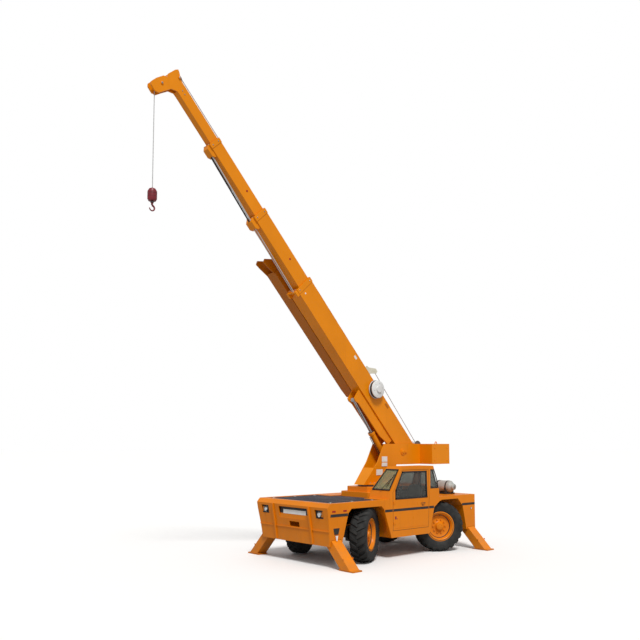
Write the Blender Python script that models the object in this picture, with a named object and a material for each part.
"""Carry deck mobile crane: a four-wheel carrier with a flat deck, a side cab, a slewing turret
with a telescoping boom, a hoist hook and four sloping outriggers.

Metres. +X is the operator's left (the cab side), -Y is the front, +Z is up, and the ground is z = 0.
Lengths below are laid out from a datum on the ground under the rear axle; the last step moves the
whole crane so that the origin is under the centre of its bounding box.
"""

import math

import bmesh
import bpy
from mathutils import Matrix, Vector

# ---------------------------------------------------------------- driving sizes
GAP = 0.0003              # air between pieces that touch
HALF_WIDTH = 1.22         # half the carrier's width
REAR_AXLE_Y = 0.27
FRONT_AXLE_Y = -2.46
TYRE_RADIUS = 0.60
TYRE_HALF_WIDTH = 0.19
WHEEL_X = 1.01            # wheel's centre plane, straight ahead
KINGPIN_X = 0.80
STEER_DEG = 28.0          # wheels as stored: front pair to the left, rear pair against it
RIM_SEAT = 0.3355
WHEEL_SIDES = 40

DECK_Z = 1.35             # top of the painted deck rim
DECK_LIP = 0.10           # rim width around the dark plate
PLATE_TOP_Z = 1.338
PLATE_LOW_Z = 1.3223
REAR_Z = 1.33             # top of the rear body
BOX_LOW_Z = 0.49          # underside of the side boxes
ARCH_Z = 1.215            # underside of the fenders

FRONT_TOP_Y = -3.61
FRONT_NOSE_Y = -3.69
REAR_Y = 1.36
BUMPER_BACK_Y = -3.08
LAMP_X = 0.93              # headlight centres
BOX_FRONT_Y = -1.97
BOX_REAR_Y = -0.05

CAB_INNER_X = 0.58
CAB_ROOF_Z = 2.075
CAB_SILL_Z = 1.52         # foot of the windshield
CAB_LEAN = 0.20           # how far the inner side leans out at the roof
CAB_WALL = 0.03

SLEW_Y = -0.98
PEDESTAL_TOP_Z = 1.575
TURRET_LOW_Z = 1.62
TURRET_LOW_HALF = 0.165
TURRET_TOP_HALF = 0.20
TURRET_FRONT_Y = -1.565
TURRET_WAIST_Z = 2.15
TURRET_TOP_Z = 2.60
TURRET_WALL = 0.025
TAIL_LOW_Z = 2.085
TAIL_FRONT_Y = 0.455
TAIL_REAR_Y = 1.155
TAIL_HALF = 0.60

BOOM_DEG = 47.2           # boom elevation as stored
PIVOT_Y = -0.21
PIVOT_Z = 2.40

# Boom tubes, in the boom's own frame: t runs from the pivot to the tip, n is square to it, upwards.
# name: half width, low n, high n, tail t, end t, collar start t, wall
TUBES = {
    "boom_base": (0.160, -0.036, 0.464, -0.13, 5.01, 4.89, 0.012),
    "boom_section_2": (0.135, 0.064, 0.439, 1.42, 6.86, 6.74, 0.012),
    "boom_section_3": (0.108, 0.120, 0.417, 2.68, 8.58, 8.475, 0.010),
    "boom_tip": (0.080, 0.171, 0.401, 3.66, 9.75, 9.60, 0.010),
}
COLLAR = 0.010            # how far a collar stands out of its tube

CYLINDER_EYE = (1.95, -0.25)      # rod's eye under the boom (t, n)
CYLINDER_FOOT = (-0.548, 2.10)    # barrel's foot in the turret (y, z)
BARREL_LENGTH = 0.98
BARREL_RADIUS = 0.075
ROD_RADIUS = 0.040

WINCH = (-0.33, 0.58)             # drum centre (t, n)
WINCH_FLANGE = 0.13
WINCH_CORE = 0.085
HEAD_SHEAVE = (10.02, -0.05)
TOP_SHEAVE = (9.93, 0.40)
SHEAVE_RADIUS = 0.125
SHEAVE_GROOVE = 0.108
ROPE_RADIUS = 0.009
ROPE_OFFSET = 0.120               # rope's centre line from the sheave's centre
ROPE_END_Z = 7.57
BALL_RADIUS = 0.093
BALL_LOW_Z = 7.31
HOOK_LOW_Z = 7.10

FRONT_LEG_Y = -3.385
REAR_LEG_Y = 1.185
LEG_HALF_Y = 0.135
LEG_HALF_DEPTH = 0.10
LEG_LINE = 1.60                   # x + z along the leg's centre line
LEG_TOP_Z = 0.90
FOOT_THICK = 0.03
LEG_CLEARANCE = 0.008

PAINT = (0.80, 0.27, 0.010)
DARK = (0.022, 0.022, 0.024)
BLACK = (0.012, 0.012, 0.013)
STEEL = (0.42, 0.42, 0.43)


# ---------------------------------------------------------------- small tools
def clear_scene():
    for obj in list(bpy.data.objects):
        bpy.data.objects.remove(obj, do_unlink=True)


def to_object(name, mesh_data):
    """Turns a bmesh into an object with outward normals."""
    bmesh.ops.recalc_face_normals(mesh_data, faces=mesh_data.faces)
    if mesh_data.calc_volume(signed=True) < 0:
        bmesh.ops.reverse_faces(mesh_data, faces=mesh_data.faces)
    mesh = bpy.data.meshes.new(name)
    mesh_data.to_mesh(mesh)
    mesh_data.free()
    obj = bpy.data.objects.new(name, mesh)
    bpy.context.scene.collection.objects.link(obj)
    return obj


def prism(name, profile, axis, low, high):
    """A closed outline pushed along an axis. The outline's two numbers are the other two axes, in order."""
    def place(a, b, along):
        return {"X": (along, a, b), "Y": (a, along, b), "Z": (a, b, along)}[axis]
    data = bmesh.new()
    first = [data.verts.new(place(a, b, low)) for a, b in profile]
    second = [data.verts.new(place(a, b, high)) for a, b in profile]
    data.faces.new(first)
    data.faces.new(second[::-1])
    count = len(profile)
    for i in range(count):
        j = (i + 1) % count
        data.faces.new((first[i], second[i], second[j], first[j]))
    return to_object(name, data)


def box(name, low, high):
    return prism(name, [(low[0], low[1]), (high[0], low[1]), (high[0], high[1]), (low[0], high[1])],
                 "Z", low[2], high[2])


def lathe(name, outline, axis, centre, segments=32):
    """Turns an outline of (radius, along) points about an axis through a centre."""
    data = bmesh.new()
    rings = []
    for radius, along in outline:
        if radius < 1e-6:
            rings.append([data.verts.new(spin_point(0.0, 0.0, along, axis, centre))])
            continue
        rings.append([data.verts.new(spin_point(radius, 2 * math.pi * k / segments, along, axis, centre))
                      for k in range(segments)])
    count = len(rings)
    closed = outline[0][0] > 1e-6 or outline[-1][0] > 1e-6
    for i in range(count if closed else count - 1):
        strip(data, rings[i], rings[(i + 1) % count], segments)
    return to_object(name, data)


def spin_point(radius, angle, along, axis, centre):
    a, b = radius * math.cos(angle), radius * math.sin(angle)
    offset = {"X": (along, a, b), "Y": (a, along, b), "Z": (a, b, along)}[axis]
    return Vector(centre) + Vector(offset)


def strip(data, one, two, segments):
    for k in range(segments):
        m = (k + 1) % segments
        if len(one) == 1 and len(two) == 1:
            return
        if len(one) == 1:
            data.faces.new((one[0], two[k], two[m]))
        elif len(two) == 1:
            data.faces.new((one[k], one[m], two[0]))
        else:
            data.faces.new((one[k], one[m], two[m], two[k]))


def drum(name, axis, centre, radius, low, high, segments=32):
    return lathe(name, [(0, low), (radius, low), (radius, high), (0, high)], axis, centre, segments)


def bake(obj):
    """Keeps the result of an object's modifiers as its mesh."""
    graph = bpy.context.evaluated_depsgraph_get()
    mesh = bpy.data.meshes.new_from_object(obj.evaluated_get(graph))
    obj.modifiers.clear()
    obj.data = mesh
    return obj


def combine(target, tools, operation):
    for tool in tools:
        modifier = target.modifiers.new("shape", "BOOLEAN")
        modifier.operation = operation
        modifier.solver = "EXACT"
        modifier.object = tool
        bpy.context.view_layer.update()
        bake(target)
        bpy.data.objects.remove(tool, do_unlink=True)
    return target


def join(target, *tools):
    return combine(target, tools, "UNION")


def cut(target, *tools):
    return combine(target, tools, "DIFFERENCE")


def moved(obj, matrix):
    obj.data.transform(matrix)
    obj.data.update()
    return obj


def in_boom(obj):
    """Takes a shape drawn level, with t along -Y and n along Z from the pivot, to the boom as stored."""
    return moved(obj,
                 Matrix.Translation((0, PIVOT_Y, PIVOT_Z)) @ Matrix.Rotation(-math.radians(BOOM_DEG), 4,
                                                                             "X"))


def boom_point(t, n):
    a = math.radians(BOOM_DEG)
    return (PIVOT_Y - t * math.cos(a) + n * math.sin(a), PIVOT_Z + t * math.sin(a) + n * math.cos(a))


def boom_box(name, half, t0, t1, n0, n1, x0=None):
    """A box in the boom's frame, still level. With x0, its sides are x0 and half."""
    return box(name, (-half if x0 is None else x0, -t1, n0), (half, -t0, n1))


def slice_at(obj, z):
    data = bmesh.new()
    data.from_mesh(obj.data)
    bmesh.ops.bisect_plane(data, geom=data.verts[:] + data.edges[:] + data.faces[:],
                           plane_co=(0, 0, z), plane_no=(0, 0, 1))
    data.to_mesh(obj.data)
    data.free()
    return obj


def reshape(obj, rule):
    for vertex in obj.data.vertices:
        vertex.co = rule(vertex.co.copy())
    obj.data.update()
    return obj


def steering_space(name, side, axle_y):
    """All the room a tyre sweeps as it steers about its kingpin."""
    reach = WHEEL_X - KINGPIN_X + TYRE_HALF_WIDTH + 0.012
    size = TYRE_RADIUS + 0.012
    outline = [(0, TYRE_RADIUS - size)]
    for k in range(13):
        a = math.pi * (k / 12 - 0.5)
        outline.append((math.hypot(reach, size * math.cos(a)), TYRE_RADIUS + size * math.sin(a)))
    outline.append((0, TYRE_RADIUS + size))
    return lathe(name, outline, "Z", (side * KINGPIN_X, axle_y, 0), 40)


def cut_steering_space(obj, sides, axles):
    for side in sides:
        for axle_y in axles:
            cut(obj, steering_space("space", side, axle_y))
    return obj


def leg_shape(name, side, centre_y, grow, low_z, top_z):
    """A square leg at 45 degrees, low end outwards. grow widens it on every side."""
    d = (LEG_HALF_DEPTH + grow) / math.sqrt(2)
    profile = [(LEG_LINE - low_z - d, low_z - d), (LEG_LINE - low_z + d, low_z + d),
               (LEG_LINE - top_z + d, top_z + d), (LEG_LINE - top_z - d, top_z - d)]
    obj = prism(name, [(side * x, z) for x, z in profile], "Y",
                centre_y - LEG_HALF_Y - grow, centre_y + LEG_HALF_Y + grow)
    return obj


# ---------------------------------------------------------------- carrier
def bumper_back(z):
    """Y of the bumper's sloping back face at a height."""
    return -3.215 + (z - 0.45) / 0.67 * (BUMPER_BACK_Y + 3.215)


def bulkhead(z):
    """Y of the rear housings' sloping front face at a height."""
    return 0.86 + (1.07 - z) / 0.60 * 0.14


def chassis_frame():
    low, high = 0.76, 1.02
    outline = [(bumper_back(low) + GAP, low), (bulkhead(low) - GAP, low),
               (bulkhead(high) - GAP, high), (bumper_back(high) + GAP, high)]
    frame = prism("chassis_frame", outline, "X", -0.33, -0.21)
    other = prism("rail", outline, "X", 0.21, 0.33)
    cross = [box("cross", (-0.50, y - 0.06, low + 0.03), (0.50, y + 0.06, high - 0.03))
             for y in (-2.95, -1.62, -0.98, -0.34, 0.74)]
    first = cross.pop()
    join(frame, first, other, *cross)
    return frame


def axle(name, y):
    z = TYRE_RADIUS
    beam = box(name, (-0.60, y - 0.085, z - 0.095), (0.60, y + 0.085, z + 0.095))
    bulb = lathe("bulb", [(0, -0.17), (0.10, -0.15), (0.165, -0.06), (0.165, 0.06), (0.10, 0.15), (0, 0.17)],
                 "Y", (0, y, z), 24)
    join(beam, bulb)
    for side in (-1, 1):
        join(beam, box("pad", (side * 0.27 - 0.055, y - 0.08, z + 0.05), (side * 0.27 + 0.055, y + 0.08,
                                                                          0.76 - GAP)))
        ends = sorted((side * 0.54, side * 0.62))
        join(beam, box("end", (ends[0], y - 0.07, z - 0.165), (ends[1], y + 0.07, z + 0.165)))
        ends = sorted((side * 0.60, side * 0.87))
        join(beam, box("upper", (ends[0], y - 0.065, z + 0.127), (ends[1], y + 0.065, z + 0.165)))
        join(beam, box("lower", (ends[0], y - 0.065, z - 0.165), (ends[1], y + 0.065, z - 0.127)))
    return beam


def front_bumper():
    half = HALF_WIDTH
    outer = [(FRONT_TOP_Y, DECK_Z), (FRONT_NOSE_Y, 1.26), (-3.60, 0.77), (-3.56, 0.45), (-3.215, 0.45),
             (BUMPER_BACK_Y, 1.12), (BUMPER_BACK_Y, PLATE_LOW_Z - GAP),
             (FRONT_TOP_Y + DECK_LIP, PLATE_LOW_Z - GAP),
             (FRONT_TOP_Y + DECK_LIP, DECK_Z)]
    inner = [(-3.665, 1.26), (-3.578, 0.77), (-3.538, 0.30), (-3.236, 0.30), (-3.10, 1.12), (-3.10, 1.295),
             (-3.63, 1.295)]
    bumper = prism("front_bumper", outer, "X", -half, half)
    slice_at(bumper, 1.12)
    hollow = prism("hollow", inner, "X", -half + 0.025, half - 0.025)
    slice_at(hollow, 1.12)
    for obj in (bumper, hollow):
        reshape(obj, narrow_foot)
    cut(bumper, hollow)
    for side in (-1, 1):
        ends = sorted((side * (half - DECK_LIP), side * half))
        join(bumper, box("lip", (ends[0], FRONT_TOP_Y + DECK_LIP - 0.02, 1.30),
                         (ends[1], BUMPER_BACK_Y, DECK_Z)))
        join(bumper, prism("rib", [(FRONT_NOSE_Y - 0.035, 1.25), (-3.635, 0.77), (-3.59, 0.47),
                                   (-3.55, 0.47),
                                   (-3.59, 0.77), (FRONT_NOSE_Y + 0.01, 1.25)], "X",
                           side * 0.62 - 0.022, side * 0.62 + 0.022))
        cut(bumper, leg_shape("channel", side, FRONT_LEG_Y, LEG_CLEARANCE, 0.1, 1.02))
        lamp = box("lamp", (side * LAMP_X - 0.13, -3.8, 1.025), (side * LAMP_X + 0.13, -3.62, 1.205))
        cut(bumper, lamp)
    cut(bumper, box("slot", (-0.43, -3.8, 0.965), (0.56, -3.63, 1.21)))
    cut(bumper, box("pocket", (-0.11, -3.8, 0.79), (0.23, -3.50, 0.90)))
    return bumper


def narrow_foot(p):
    """The bumper draws in a little towards its foot."""
    if p.z < 1.12:
        p.x *= 1 - 0.055 * (1.12 - p.z) / 0.67
    return p


def deck_frame():
    y0, y1 = BUMPER_BACK_Y + GAP, BOX_FRONT_Y - GAP
    outline = [(y0, 1.12), (y0 + 0.10, ARCH_Z), (y1 - 0.09, ARCH_Z), (y1, 1.13), (y1, DECK_Z), (y0, DECK_Z)]
    half = HALF_WIDTH
    frame = prism("deck_frame", outline, "X", half - DECK_LIP, half)
    other = prism("rail", outline, "X", -half, -half + DECK_LIP)
    low = 1.235
    join(frame, box("cross", (-half + 0.03, y0, low), (half - 0.03, y0 + 0.07, PLATE_LOW_Z - GAP)))
    join(frame, other)
    join(frame, box("cross", (-half + 0.03, y1 - 0.07, low), (half - 0.03, y1, PLATE_LOW_Z - GAP)))
    for side in (-1, 1):
        join(frame, box("stringer", (side * 0.27 - 0.05, y0 + 0.03, low), (side * 0.27 + 0.05, y1 - 0.03,
                                                                           PLATE_LOW_Z - GAP)))
    cut_steering_space(frame, (-1, 1), (FRONT_AXLE_Y,))
    return frame


def deck_plate():
    half = HALF_WIDTH - DECK_LIP - GAP
    front, back = FRONT_TOP_Y + DECK_LIP + GAP, BOX_FRONT_Y - GAP
    middle = PEDESTAL[0][1] - GAP
    outline = [(-half, front), (half, front), (half, back), (CAB_INNER_X - 0.01, back),
               (CAB_INNER_X - 0.01, middle),
               (-CAB_INNER_X + 0.01, middle), (-CAB_INNER_X + 0.01, back), (-half, back)]
    return prism("deck_plate", outline, "Z", PLATE_LOW_Z, PLATE_TOP_Z)


PEDESTAL = [(0.55, SLEW_Y - 0.74, SLEW_Y + 0.74, 1.46), (0.46, SLEW_Y - 0.64, SLEW_Y + 0.64, PEDESTAL_TOP_Z)]


def chamfered(half, front, back, corner):
    return [(-half, front + corner), (-half + corner, front), (half - corner, front), (half, front + corner),
            (half, back - corner), (half - corner, back), (-half + corner, back), (-half, back - corner)]


def pedestal():
    (half, front, back, top), (half2, front2, back2, top2) = PEDESTAL
    low = 1.02 + GAP
    body = prism("pedestal", chamfered(half, front, back, 0.10), "Z", low, top)
    join(body, prism("step", chamfered(half2, front2, back2, 0.12), "Z", top - 0.02, top2))
    cut(body, prism("hollow", chamfered(half2 - 0.05, front2 + 0.05, back2 - 0.05, 0.12), "Z", low - 0.1,
                    top2 - 0.03))
    cut(body, drum("bore", "Z", (0, SLEW_Y, 0), 0.20, 1.4, 1.8))
    cut_steering_space(body, (-1, 1), (FRONT_AXLE_Y, REAR_AXLE_Y))
    return body


def slew_ring():
    low, high = PEDESTAL_TOP_Z + GAP, TURRET_LOW_Z - 0.005
    return lathe("slew_ring", [(0.30, low), (0.44, low), (0.44, high - 0.01), (0.425, high), (0.30, high)],
                 "Z", (0, SLEW_Y, 0), 48)


def side_profile(top):
    return [(BOX_FRONT_Y, 1.13), (-1.74, BOX_LOW_Z), (-0.42, BOX_LOW_Z), (-0.24, 1.09), (BOX_REAR_Y, 1.215),
            (BOX_REAR_Y, top), (BOX_FRONT_Y, top)]


def side_box_right():
    body = prism("side_box_right", side_profile(DECK_Z), "X", -HALF_WIDTH, -CAB_INNER_X - 0.02)
    hollow = [(-1.66, 0.30), (-0.50, 0.30), (-0.50, 1.25), (-0.10, 1.25), (-0.10, 1.32), (-1.92, 1.32),
              (-1.92, 1.25),
              (-1.66, 1.25)]
    cut(body, prism("hollow", hollow, "X", -HALF_WIDTH + 0.03, -CAB_INNER_X - 0.05))
    return cut_steering_space(body, (-1,), (FRONT_AXLE_Y, REAR_AXLE_Y))


def lean(p):
    """The cab's inner side leans outwards above the windshield's foot."""
    if p.z > CAB_SILL_Z + 1e-6 and p.x < 0.95:
        p.x += CAB_LEAN * (p.z - CAB_SILL_Z) / (CAB_ROOF_Z - CAB_SILL_Z)
    return p


def cab_prism(name, outline, x0, x1):
    obj = prism(name, outline, "X", x0, x1)
    return reshape(slice_at(obj, CAB_SILL_Z), lean)


WINDSHIELD = ((-1.745, 1.550), (-1.445, 2.000))    # foot and head of the glass (y, z)
DOOR = [(-1.69, 0.64), (-0.46, 0.64), (-0.42, 1.34), (-0.44, 2.00), (-1.375, 2.00), (-1.69, 1.50)]
DOOR_HOLE = [(-1.60, 1.345), (-0.50, 1.345), (-0.52, 1.955), (-1.335, 1.955), (-1.60, 1.535)]


def slab(points, thickness, side=0.0):
    """A thin outline around the line from one point to another, moved sideways by side."""
    (y0, z0), (y1, z1) = points
    length = math.hypot(y1 - y0, z1 - z0)
    ny, nz = -(z1 - z0) / length, (y1 - y0) / length
    rows = []
    for y, z, s in ((y0, z0, -1), (y1, z1, -1), (y1, z1, 1), (y0, z0, 1)):
        shift = side + s * thickness / 2
        rows.append((y + ny * shift, z + nz * shift))
    return rows


def cab_shell():
    half = HALF_WIDTH
    outer = [(BOX_FRONT_Y, 1.13), (-1.74, BOX_LOW_Z), (-0.42, BOX_LOW_Z), (-0.24, 1.09), (BOX_REAR_Y, 1.215),
             (BOX_REAR_Y, 1.50), (-0.26, CAB_ROOF_Z), (-1.39, CAB_ROOF_Z), (-1.76, CAB_SILL_Z),
             (-1.80, DECK_Z),
             (BOX_FRONT_Y, DECK_Z)]
    inner = [(-1.66, 0.62), (-0.50, 0.62), (-0.50, 1.25), (-0.09, 1.25), (-0.09, 1.49),
             (-0.295, CAB_ROOF_Z - 0.035),
             (-1.37, CAB_ROOF_Z - 0.035),
             (-1.715, CAB_SILL_Z), (-1.73, 1.25), (-1.66, 1.25)]
    shell = cab_prism("cab_shell", outer, CAB_INNER_X, half)
    cut(shell, cab_prism("hollow", inner, CAB_INNER_X + CAB_WALL, half - CAB_WALL))
    cut_steering_space(shell, (1,), (FRONT_AXLE_Y, REAR_AXLE_Y))
    cut(shell, cab_prism("windshield_hole", slab(WINDSHIELD, 0.12), CAB_INNER_X + 0.05, half - 0.05))
    cut(shell, prism("door_hole", DOOR, "X", half - 0.06, half + 0.1))
    quarter = [(-0.375, 1.535), (0.10, 1.535), (0.10, 1.99), (-0.375, 1.99)]
    cut(shell, prism("quarter", quarter, "X", half - 0.075, half + 0.1))
    rear = slab(((-0.085, 1.555), (-0.24, 1.955)), 0.12)
    cut(shell, cab_prism("rear_hole", rear, CAB_INNER_X + 0.06, half - 0.045))
    side = [(-1.52, 1.56), (-0.36, 1.56), (-0.36, 1.95), (-1.34, 1.95), (-1.52, 1.68)]
    cut(shell, cab_prism("inner_hole", side, CAB_INNER_X - 0.1, CAB_INNER_X + 0.06))
    return shell


def windshield():
    (y0, z0), (y1, z1) = WINDSHIELD
    glass = slab(((y0 + 0.0005, z0 + 0.001), (y1 - 0.0005, z1 - 0.001)), 0.006, 0.0)
    return cab_prism("windshield", glass, CAB_INNER_X + 0.051, HALF_WIDTH - 0.051)


def shrink(outline, by):
    """An outline with every corner pulled towards its middle by about the same amount."""
    cy = sum(p[0] for p in outline) / len(outline)
    cz = sum(p[1] for p in outline) / len(outline)
    rows = []
    for y, z in outline:
        length = math.hypot(y - cy, z - cz)
        rows.append((y + (cy - y) * by / length, z + (cz - z) * by / length))
    return rows


def cab_door():
    door = prism("cab_door", shrink(DOOR, 0.007), "X", HALF_WIDTH - 0.028, HALF_WIDTH)
    return cut(door, prism("hole", DOOR_HOLE, "X", HALF_WIDTH - 0.1, HALF_WIDTH + 0.1))


def door_glass():
    return prism("door_glass", shrink(DOOR_HOLE, 0.001), "X", HALF_WIDTH - 0.017, HALF_WIDTH - 0.011)


CAB_MIDDLE_X = (CAB_INNER_X + HALF_WIDTH) / 2
CAB_HALF_ROOM = (HALF_WIDTH - CAB_INNER_X) / 2 - CAB_WALL


def cab_seat():
    half = min(0.24, CAB_HALF_ROOM - 0.04)
    low, high = CAB_MIDDLE_X - half, CAB_MIDDLE_X + half
    base = box("cab_seat", (low + 0.02, -1.00, 0.62 + GAP), (high - 0.02, -0.56, 0.98))
    join(base, prism("cushion", [(-1.12, 0.97), (-1.12, 1.10), (-0.62, 1.08), (-0.60, 0.97)], "X", low,
                     high))
    return join(base, prism("back", [(-0.72, 1.0), (-0.62, 1.66), (-0.52, 1.66), (-0.54, 1.0)], "X",
                            low + 0.02, high - 0.02))


def cab_console():
    base = prism("cab_console", [(-1.655, 0.63), (-1.655, 1.26), (-1.60, 1.30), (-1.50, 1.26),
                                 (-1.44, 0.63)], "X",
                 CAB_INNER_X + CAB_WALL + 0.001, HALF_WIDTH - CAB_WALL - 0.002)
    reshape(base, lambda p: Vector((p.x, p.y, p.z - (0.01 - GAP) if p.z < 0.7 else p.z)))
    wheel_x = CAB_MIDDLE_X + 0.015
    rim = min(0.195, CAB_HALF_ROOM - 0.045)
    column = prism("column", slab(((-1.54, 1.20), (-1.30, 1.46)), 0.05), "X", wheel_x - 0.025,
                   wheel_x + 0.025)
    join(base, column)
    wheel = lathe("wheel", [(rim - 0.03, -0.012), (rim, -0.012), (rim, 0.012), (rim - 0.03, 0.012)], "Z",
                  (0, 0, 0), 24)
    reach = rim - 0.015
    spoke = box("spoke", (-reach, -0.02, -0.008), (reach, 0.02, 0.008))
    join(wheel, spoke, box("spoke", (-0.02, -reach, -0.008), (0.02, reach, 0.008)))
    moved(wheel, Matrix.Translation((wheel_x, -1.30, 1.46)) @ Matrix.Rotation(math.radians(47), 4, "X"))
    return join(base, wheel)


def rear_body():
    half = HALF_WIDTH
    front = BOX_REAR_Y + GAP
    outer = [(front, 1.215), (0.06, 1.25), (0.67, 1.25), (0.79, 1.13), (0.86, 1.07), (1.0, 0.47),
             (REAR_Y, 0.47),
             (REAR_Y, REAR_Z), (front, REAR_Z)]
    inner = [(0.895, 1.065), (1.035, 0.30), (REAR_Y - 0.025, 0.30), (REAR_Y - 0.025, 1.30), (0.84, 1.30),
             (0.84, 1.12)]
    body = prism("rear_body", outer, "X", -half, half)
    cut(body, prism("hollow", inner, "X", -half + 0.025, half - 0.025))
    for side in (-1, 1):
        cut(body, leg_shape("channel", side, REAR_LEG_Y, LEG_CLEARANCE, 0.1, 1.02))
    cut(body, box("well", (-0.54, 0.08, 1.0), (-0.02, 0.78, 1.5)))
    cut_steering_space(body, (-1, 1), (REAR_AXLE_Y,))
    return body


def engine_hood():
    low = REAR_Z + GAP
    outline = [(-1.12, low), (0.02, low), (0.02, 1.52), (-0.02, 1.56), (-1.08, 1.56), (-1.12, 1.52)]
    hood = prism("engine_hood", outline, "Y", 0.0, 0.92)
    inner = [(-1.09, 1.0), (-0.01, 1.0), (-0.01, 1.51), (-0.03, 1.53), (-1.07, 1.53), (-1.09, 1.51)]
    return cut(hood, prism("hollow", inner, "Y", 0.03, 0.89))


def engine_block():
    block = box("engine_block", (-0.48, 0.14, 1.0203), (-0.08, 0.72, 1.36))
    return join(block, box("cover", (-0.42, 0.20, 1.35), (-0.14, 0.66, 1.48)))


TANK = (0.62, 0.90, 1.515, 0.150, 0.27)     # centre x, y, z, radius, half length


def gas_tank():
    x, y, z, r, half = TANK
    outline = [(0, -half), (0.10, -half + 0.015), (r, -half + 0.075), (r, half - 0.075),
               (0.10, half - 0.015), (0, half)]
    tank = lathe("gas_tank", outline, "X", (x, y, z), 32)
    return join(tank, drum("collar", "X", (x, y, z), 0.075, half - 0.06, half + 0.045, 24))


def tank_cradle():
    x, y, z, r, _ = TANK
    low = REAR_Z + GAP
    cradle = box("tank_cradle", (x - 0.20, y - 0.17, low), (x + 0.20, y + 0.17, low + 0.03))
    for end in (x - 0.14, x + 0.14):
        join(cradle, box("saddle", (end - 0.025, y - 0.165, low + 0.01), (end + 0.025, y + 0.165, z - 0.03)))
    return cut(cradle, drum("seat", "X", (x, y, z), r + GAP, -0.5, 0.5, 32))


# ---------------------------------------------------------------- wheels and outriggers
def steer_matrix(side, axle_y, turn):
    pin = Vector((side * KINGPIN_X, axle_y, 0))
    return Matrix.Translation(pin) @ Matrix.Rotation(math.radians(turn), 4, "Z") @ Matrix.Translation(-pin)


def sided(outline, side):
    rows = [(r, side * x) for r, x in outline]
    return rows if side > 0 else rows[::-1]


TYRE = [(RIM_SEAT, -0.144), (0.3605, -0.1445), (0.375, -0.170), (0.46, -TYRE_HALF_WIDTH), (0.56, -0.182),
        (0.588, -0.163), (TYRE_RADIUS, -0.13), (TYRE_RADIUS, 0.13), (0.588, 0.163), (0.56, 0.182),
        (0.46, TYRE_HALF_WIDTH), (0.375, 0.170), (0.3605, 0.1445), (RIM_SEAT, 0.144)]
RIM = [(0, 0.125), (0.085, 0.125), (0.105, 0.075), (0.19, 0.055), (0.275, 0.065), (0.318, 0.158),
       (0.36, 0.160),
       (0.36, 0.1452), (RIM_SEAT - GAP, 0.1440), (RIM_SEAT - GAP, 0.06), (0.322, 0.03), (0.322, -0.03),
       (RIM_SEAT - GAP, -0.06), (RIM_SEAT - GAP, -0.1440), (0.36, -0.1452), (0.36, -0.160), (0.310, -0.155),
       (0.300, 0.0), (0.19, 0.02), (0.105, 0.02), (0.105, -0.095), (0.056, -0.095), (0.056, 0.09), (0, 0.09)]


def wheel(tag, side, axle_y, turn):
    matrix = steer_matrix(side, axle_y, turn)
    centre = (side * WHEEL_X, axle_y, TYRE_RADIUS)
    moved(lathe("tyre_" + tag, sided(TYRE, side), "X", centre, WHEEL_SIDES), matrix)
    moved(lathe("rim_" + tag, sided(RIM, side), "X", centre, WHEEL_SIDES), matrix)
    knuckle = box("knuckle_" + tag, (side * KINGPIN_X - 0.06, axle_y - 0.055, TYRE_RADIUS - 0.12),
                  (side * KINGPIN_X + 0.06, axle_y + 0.055, TYRE_RADIUS + 0.12))
    ends = sorted((side * (KINGPIN_X + 0.04) - side * WHEEL_X, side * 0.08))
    join(knuckle, drum("spindle", "X", centre, 0.048, ends[0], ends[1], 24))
    moved(knuckle, matrix)


WHEELS = [("front_left", 1, FRONT_AXLE_Y, STEER_DEG), ("front_right", -1, FRONT_AXLE_Y, STEER_DEG),
          ("rear_left", 1, REAR_AXLE_Y, -STEER_DEG), ("rear_right", -1, REAR_AXLE_Y, -STEER_DEG)]
LEGS = [("front_left", 1, FRONT_LEG_Y), ("front_right", -1, FRONT_LEG_Y), ("rear_left", 1, REAR_LEG_Y),
        ("rear_right", -1, REAR_LEG_Y)]


def outrigger(tag, side, centre_y):
    leg = leg_shape("outrigger_" + tag, side, centre_y, 0.0, -0.2, LEG_TOP_Z)
    cut(leg, box("below", (-3, centre_y - 1, -1), (3, centre_y + 1, FOOT_THICK - 0.01)))
    ends = sorted((side * (LEG_LINE - 0.22), side * (LEG_LINE + 0.20)))
    return join(leg, box("foot", (ends[0], centre_y - LEG_HALF_Y, 0.0),
                         (ends[1], centre_y + LEG_HALF_Y, FOOT_THICK)))


# ---------------------------------------------------------------- turret
def waist(p, less):
    """Half width of the turret at a height, kept on the point's own side."""
    wide = TURRET_LOW_HALF - less
    slim = TURRET_TOP_HALF - less
    share = min(1.0, max(0.0, (p.z - TURRET_LOW_Z) / (TURRET_WAIST_Z - TURRET_LOW_Z)))
    p.x = math.copysign(wide + (slim - wide) * share, p.x)
    return p


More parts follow.
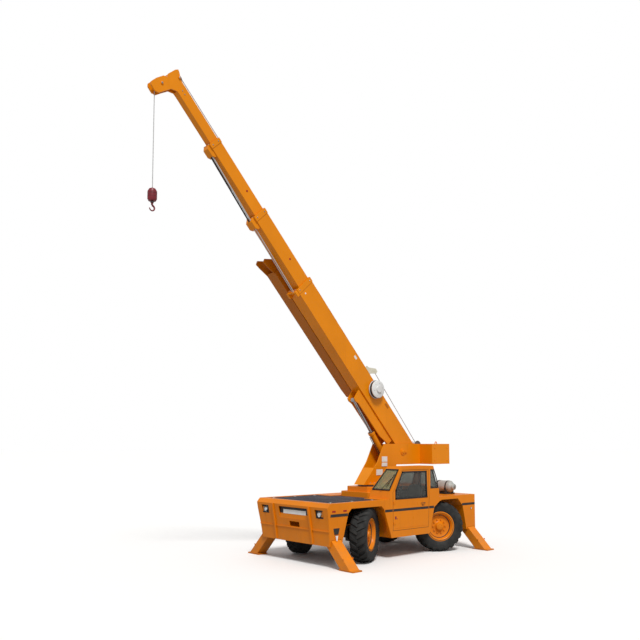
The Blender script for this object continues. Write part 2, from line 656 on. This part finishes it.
def turret_frame():
    outer = [(TURRET_FRONT_Y, TURRET_LOW_Z), (-1.12, TURRET_WAIST_Z), (-0.88, TURRET_TOP_Z),
             (TAIL_FRONT_Y - GAP, TURRET_TOP_Z), (TAIL_FRONT_Y - GAP, TAIL_LOW_Z), (-0.44, TAIL_LOW_Z),
             (-0.52, TURRET_LOW_Z)]
    inner = [(TURRET_FRONT_Y + 0.06, 1.66), (-1.085, TURRET_WAIST_Z), (-0.80, 2.70), (0.50, 2.70),
             (0.50, TAIL_LOW_Z + 0.03), (-0.475, TAIL_LOW_Z + 0.03), (-0.545, 1.66)]
    tower = prism("turret_frame", outer, "X", -0.3, 0.3)
    reshape(slice_at(tower, TURRET_WAIST_Z), lambda p: waist(p, 0.0))
    hollow = prism("hollow", inner, "X", -0.3, 0.3)
    reshape(slice_at(hollow, TURRET_WAIST_Z), lambda p: waist(p, TURRET_WALL))
    cut(tower, hollow)
    cut(tower, prism("notch", [(-1.6, 2.02), (-0.9, 2.02), (-0.6, 2.8), (-1.6, 2.8)], "X", -0.174, 0.174))
    join(tower, drum("flange", "Z", (0, SLEW_Y, 0), 0.46, TURRET_LOW_Z, 1.66, 48))
    cut(tower, drum("bore", "Z", (0, SLEW_Y, 0), 0.18, 1.5, 1.8))
    cut(tower, box("well", (-0.174, 0.18, 1.9), (0.174, 0.7, TAIL_LOW_Z + 0.1)))
    y, z = CYLINDER_FOOT
    for side in (-1, 1):
        join(tower, prism("lug", [(y - 0.09, 1.65), (y - 0.09, z + 0.06), (y - 0.04, z + 0.09),
                                  (y + 0.04, z + 0.09),
                                  (y + 0.06, z + 0.05), (y + 0.06, 1.65)], "X", side * 0.10 - 0.015,
                          side * 0.10 + 0.015))
        ends = sorted((side * (0.16 + 0.005), side * (TURRET_TOP_HALF + 0.02)))
        join(tower, drum("boss", "X", (0, PIVOT_Y, PIVOT_Z), 0.075, ends[0], ends[1], 24))
    return tower


def counterweight():
    y0, y1, half = TAIL_FRONT_Y, TAIL_REAR_Y, TAIL_HALF
    block = box("counterweight", (-half, y0, TAIL_LOW_Z), (half, y1, TURRET_TOP_Z))
    return cut(block, box("well", (-0.175, y0 - 0.1, 1.9), (0.175, 0.605, 2.8)))


def lift_axis():
    """Start, direction and length of the lift cylinder, foot to eye."""
    ey, ez = boom_point(*CYLINDER_EYE)
    fy, fz = CYLINDER_FOOT
    length = math.hypot(ey - fy, ez - fz)
    return (fy, fz), ((ey - fy) / length, (ez - fz) / length), length


def along_lift(obj):
    """Takes a shape drawn along +Z from the foot to the cylinder's own line."""
    (fy, fz), (dy, dz), _ = lift_axis()
    return moved(obj, Matrix.Translation((0, fy, fz)) @ Matrix.Rotation(math.atan2(-dy, dz), 4, "X"))


def lift_barrel():
    inner = ROD_RADIUS + 0.006
    body = lathe("lift_barrel", [(0, 0.03), (0.05, 0.03), (BARREL_RADIUS, 0.10), (BARREL_RADIUS,
                                                                                  BARREL_LENGTH - 0.06),
                                 (BARREL_RADIUS + 0.012, BARREL_LENGTH - 0.06),
                                 (BARREL_RADIUS + 0.012, BARREL_LENGTH),
                                 (inner, BARREL_LENGTH), (inner, 0.30), (0, 0.30)], "Z", (0, 0, 0), 32)
    eye = drum("eye", "X", (0, 0, 0), 0.060, -0.078, 0.078, 24)
    return along_lift(join(body, eye))


def lift_rod():
    _, _, length = lift_axis()
    rod = drum("lift_rod", "Z", (0, 0, 0), ROD_RADIUS, 0.72, length - 0.02, 24)
    eye = drum("eye", "X", (0, 0, length), 0.055, -0.06, 0.06, 24)
    return along_lift(join(rod, eye))


# ---------------------------------------------------------------- boom
def tube(name):
    half, n0, n1, t0, t1, c0, wall = TUBES[name]
    body = boom_box(name, half, t0, t1, n0, n1)
    if name != "boom_tip":
        join(body, boom_box("collar", half + COLLAR, c0, t1, n0 - COLLAR, n1 + COLLAR))
    return cut(body, boom_box("hollow", half - wall, t0 - 0.1, t1 + 0.1, n0 + wall, n1 - wall))


def boom_base():
    half, n0, n1, t0, _, _, _ = TUBES["boom_base"]
    base = tube("boom_base")
    join(base, boom_box("tail", half - 0.004, t0, t0 + 0.03, n0 + 0.004, n1 - 0.20))
    et, en = CYLINDER_EYE
    for side in (-1, 1):
        inside, outside = sorted((side * 0.095, side * 0.125))
        keel = [(-0.42, n0 + 0.006), (-0.44, -0.20), (-0.80, -0.285), (-et + 0.10, -0.285),
                (-et - 0.02, en - 0.075),
                (-et - 0.09, en - 0.06), (-et - 0.14, n0 + 0.006)]
        join(base, prism("keel", keel, "X", inside, outside))
        ends = sorted((side * (half - 0.014), side * (half - 0.0005)))
        cheek = [(-t0 - 0.06, 0.22), (-t0 - 0.06, n1 - 0.03), (-WINCH[0] + 0.07, WINCH[1] + 0.06),
                 (-WINCH[0] + 0.10, WINCH[1]), (-WINCH[0] + 0.05, WINCH[1] - 0.08), (-t0 + 0.01, 0.22)]
        join(base, prism("cheek", cheek, "X", ends[0], ends[1]))
    cut(base, drum("foot_bore", "X", (0, 0, 0), 0.035, -0.3, 0.3, 24))
    return in_boom(base)


def boom_section(name, bracket_low):
    half, n0, _, _, t1, _, wall = TUBES[name]
    body = tube(name)
    bracket = [(-t1 + 0.28, n0 + wall * 0.5), (-t1 + 0.28, n0 - bracket_low * 0.5),
               (-t1 + 0.22, n0 - bracket_low),
               (-t1 + 0.06, n0 - bracket_low), (-t1 + 0.01, n0 - bracket_low * 0.4),
               (-t1 + 0.01, n0 + wall * 0.5)]
    join(body, prism("bracket", bracket, "X", -half * 0.8, half * 0.8))
    return in_boom(body)


HEAD = [(-9.55, 0.175), (-9.55, 0.395), (-9.86, 0.402), (-9.94, 0.432), (-10.01, 0.472), (-10.075, 0.492),
        (-10.10, 0.42), (-10.105, 0.22), (-10.06, 0.15), (-10.12, 0.085), (-10.15, -0.10), (-10.147, -0.25),
        (-10.10, -0.295), (-9.97, -0.30), (-9.90, -0.245), (-9.875, -0.10), (-9.84, 0.075), (-9.75, 0.165)]


def boom_tip():
    half, n0, n1, _, _, _, _ = TUBES["boom_tip"]
    body = tube("boom_tip")
    for side in (-1, 1):
        ends = sorted((side * 0.045, side * (half - 0.002)))
        join(body, prism("cheek", HEAD, "X", ends[0], ends[1]))
        ends = sorted((side * (half - 0.01), side * (half + 0.014)))
        for t, n in (HEAD_SHEAVE, TOP_SHEAVE):
            join(body, drum("pin_head", "X", (0, -t, n), 0.030, ends[0], ends[1], 20))
    join(body, boom_box("block", 0.06, 9.60, 9.745, n0 + 0.02, n1 - 0.02))
    join(body, boom_box("web", 0.06, 9.90, 10.03, 0.18, 0.24))
    return in_boom(body)


def sheave(name, at, radius, groove):
    t, n = at
    y, z = boom_point(t, n)
    outline = [(0, -0.030), (radius, -0.026), (groove, -0.012), (groove, 0.012), (radius, 0.026), (0, 0.030)]
    return lathe(name, outline, "X", (0, y, z), 32)


def winch_drum():
    y, z = boom_point(*WINCH)
    outline = [(0, -0.138), (WINCH_FLANGE, -0.138), (WINCH_FLANGE, -0.126), (WINCH_CORE, -0.126),
               (WINCH_CORE, 0.126),
               (WINCH_FLANGE, 0.126), (WINCH_FLANGE, 0.138), (0, 0.138)]
    return lathe("winch_drum", outline, "X", (0, y, z), 40)


JIB = (-0.50, -0.185, 1.86, 5.55, -0.036, 0.22)    # x0, x1, t0, t1, n0, n1


def stowed_jib():
    x0, x1, t0, t1, n0, n1 = JIB
    outline = [(-t0, n0 + 0.02), (-t0 - 0.25, n0), (-t1, n0), (-t1, n1 - 0.06), (-t0 - 0.25, n1),
               (-t0, n1 - 0.08)]
    jib = prism("stowed_jib", outline, "X", x0, x1)
    cut(jib, boom_box("hollow", x1 - 0.014, t0 + 0.27, t1 + 0.1, n0 + 0.014, n1 - 0.08, x0 + 0.014))
    for x in (x0 + 0.02, x1 - 0.03):
        prong = [(-t1 + 0.10, n1 - 0.08), (-t1 - 0.26, n1 - 0.10), (-t1 - 0.38, n0 - 0.02),
                 (-t1 - 0.34, n0 - 0.10),
                 (-t1 - 0.22, n0 - 0.08), (-t1 + 0.10, n0 + 0.01)]
        join(jib, prism("prong", prong, "X", x - 0.012, x + 0.012))
    half = TUBES["boom_base"][0]
    for t in (2.4, 4.4):
        join(jib, boom_box("bracket", -half - GAP, t, t + 0.12, 0.05, 0.13, x1 - 0.02))
    return in_boom(jib)


REEL = (1.77, 0.334)


def cable_reel():
    x = TUBES["boom_base"][0] + GAP
    t, n = REEL
    outline = [(0, x), (0.06, x), (0.06, x + 0.03), (0.225, x + 0.03), (0.225, x + 0.04), (0.15, x + 0.045),
               (0.15, x + 0.105), (0.215, x + 0.11), (0.215, x + 0.125), (0.19, x + 0.14),
               (0.085, x + 0.145),
               (0.08, x + 0.175), (0, x + 0.18)]
    return in_boom(lathe("cable_reel", outline, "X", (0, -t, n), 40))


GUIDE_HIGH = (2.04, 0.725)
GUIDE_LOW = (2.30, 0.5293)


def rope_guide():
    """A stand with two rollers: the rope passes over the high one and under the low one."""
    top = TUBES["boom_base"][2] + GAP
    guide = boom_box("rope_guide", 0.13, 2.14, 2.36, top, top + 0.015)
    stand = [(-2.34, top + 0.01), (-2.34, top + 0.10), (-2.26, top + 0.13), (-2.09, GUIDE_HIGH[1] + 0.035),
             (-2.00, GUIDE_HIGH[1] + 0.035), (-1.99, GUIDE_HIGH[1] - 0.035), (-2.16, top + 0.01)]
    for side in (-1, 1):
        ends = sorted((side * 0.10, side * 0.115))
        join(guide, prism("stand", stand, "X", ends[0], ends[1]))
    for t, n in (GUIDE_HIGH, GUIDE_LOW):
        join(guide, drum("roller", "X", (0, -t, n), 0.028, -0.11, 0.11, 20))
    return in_boom(guide)


# ---------------------------------------------------------------- hoist
def hoist_line():
    """Y of the hanging rope and the height where it leaves the head sheave."""
    y, z = boom_point(*HEAD_SHEAVE)
    return y - ROPE_OFFSET, z


def hoist_rope():
    y, z = hoist_line()
    return drum("hoist_rope", "Z", (0, y, 0), ROPE_RADIUS, ROPE_END_Z + GAP, z, 12)


def hook_ball():
    y, _ = hoist_line()
    r = BALL_RADIUS
    outline = [(0, BALL_LOW_Z), (r * 0.78, BALL_LOW_Z), (r, BALL_LOW_Z + 0.04), (r, ROPE_END_Z - 0.07),
               (r * 0.7, ROPE_END_Z - 0.02), (r * 0.3, ROPE_END_Z), (0, ROPE_END_Z)]
    return lathe("hook_ball", outline, "Z", (0, y, 0), 32)


def hook():
    y, _ = hoist_line()
    top = BALL_LOW_Z - GAP
    shank = drum("hook", "Z", (0, y, 0), 0.022, top - 0.075, top, 20)
    radius = 0.052
    centre = (top - HOOK_LOW_Z) - radius - 0.016
    data = bmesh.new()
    rings = []
    for k in range(15):
        angle = math.radians(90 - k * 270 / 14)
        thick = 0.020 - 0.010 * k / 14
        ring = []
        for m in range(10):
            s = 2 * math.pi * m / 10
            r = radius + thick * math.cos(s)
            ring.append(data.verts.new((thick * math.sin(s), y + r * math.cos(angle),
                                        top - centre + r * math.sin(angle))))
        rings.append(ring)
    for one, two in zip(rings, rings[1:]):
        strip(data, one, two, 10)
    data.faces.new(rings[0])
    data.faces.new(rings[-1][::-1])
    return join(shank, to_object("bend", data))


# ---------------------------------------------------------------- finish
GLOSS = {"paint": (PAINT, 0.35, 0.0), "dark": (DARK, 0.6, 0.0), "black": (BLACK, 0.75, 0.0),
         "steel": (STEEL, 0.3, 0.9),
         "tyre": ((0.017, 0.018, 0.018), 0.85, 0.0), "glass": ((0.20, 0.19, 0.12), 0.08, 0.0),
         "maroon": ((0.19, 0.012, 0.022), 0.4, 0.0), "tank": ((0.62, 0.63, 0.64), 0.35, 0.2),
         "white": ((0.75, 0.75, 0.73), 0.4, 0.0)}
LOOK = {"deck_plate": "dark", "chassis_frame": "black", "cab_seat": "black", "cab_console": "dark",
        "engine_block": "steel", "slew_ring": "steel", "windshield": "glass", "door_glass": "glass",
        "gas_tank": "tank", "tank_cradle": "black", "lift_rod": "steel", "hoist_rope": "steel",
        "hook_ball": "maroon", "hook": "steel", "cable_reel": "white", "rope_guide": "white",
        "winch_drum": "steel",
        "head_sheave": "dark", "top_sheave": "dark", "stowed_jib": "paint"}


def colour(obj):
    key = "tyre" if obj.name.startswith("tyre_") else "black" if obj.name.startswith("knuckle_") else \
        LOOK.get(obj.name, "paint")
    rgb, rough, metal = GLOSS[key]
    material = bpy.data.materials.new(obj.name + "_finish")
    material.use_nodes = True
    shader = material.node_tree.nodes["Principled BSDF"]
    shader.inputs["Base Color"].default_value = (*rgb, 1.0)
    shader.inputs["Roughness"].default_value = rough
    shader.inputs["Metallic"].default_value = metal
    obj.data.materials.clear()
    obj.data.materials.append(material)


def centre_shift():
    """How far the datum is from the middle of the crane's bounding box, on the ground."""
    points = [obj.matrix_world @ v.co for obj in bpy.data.objects for v in obj.data.vertices]
    xs, ys = [p.x for p in points], [p.y for p in points]
    return (-(min(xs) + max(xs)) / 2, -(min(ys) + max(ys)) / 2, 0.0)


def build():
    chassis_frame()
    axle("front_axle", FRONT_AXLE_Y)
    axle("rear_axle", REAR_AXLE_Y)
    for make in (front_bumper, deck_frame, deck_plate, pedestal, slew_ring, side_box_right, cab_shell,
                 windshield,
                 cab_door, door_glass, cab_seat, cab_console, rear_body, engine_hood, engine_block, gas_tank,
                 tank_cradle, turret_frame, counterweight, lift_barrel, lift_rod, boom_base, boom_tip,
                 winch_drum,
                 stowed_jib, cable_reel, rope_guide, hoist_rope, hook_ball, hook):
        make()
    boom_section("boom_section_2", 0.115)
    boom_section("boom_section_3", 0.095)
    sheave("head_sheave", HEAD_SHEAVE, SHEAVE_RADIUS, SHEAVE_GROOVE)
    sheave("top_sheave", TOP_SHEAVE, 0.095, 0.080)
    for row in WHEELS:
        wheel(*row)
    for row in LEGS:
        outrigger(*row)


clear_scene()
build()
SHIFT = centre_shift()
for part in list(bpy.data.objects):
    moved(part, Matrix.Translation(SHIFT))
    colour(part)
print("origin shift", [round(v, 6) for v in SHIFT])
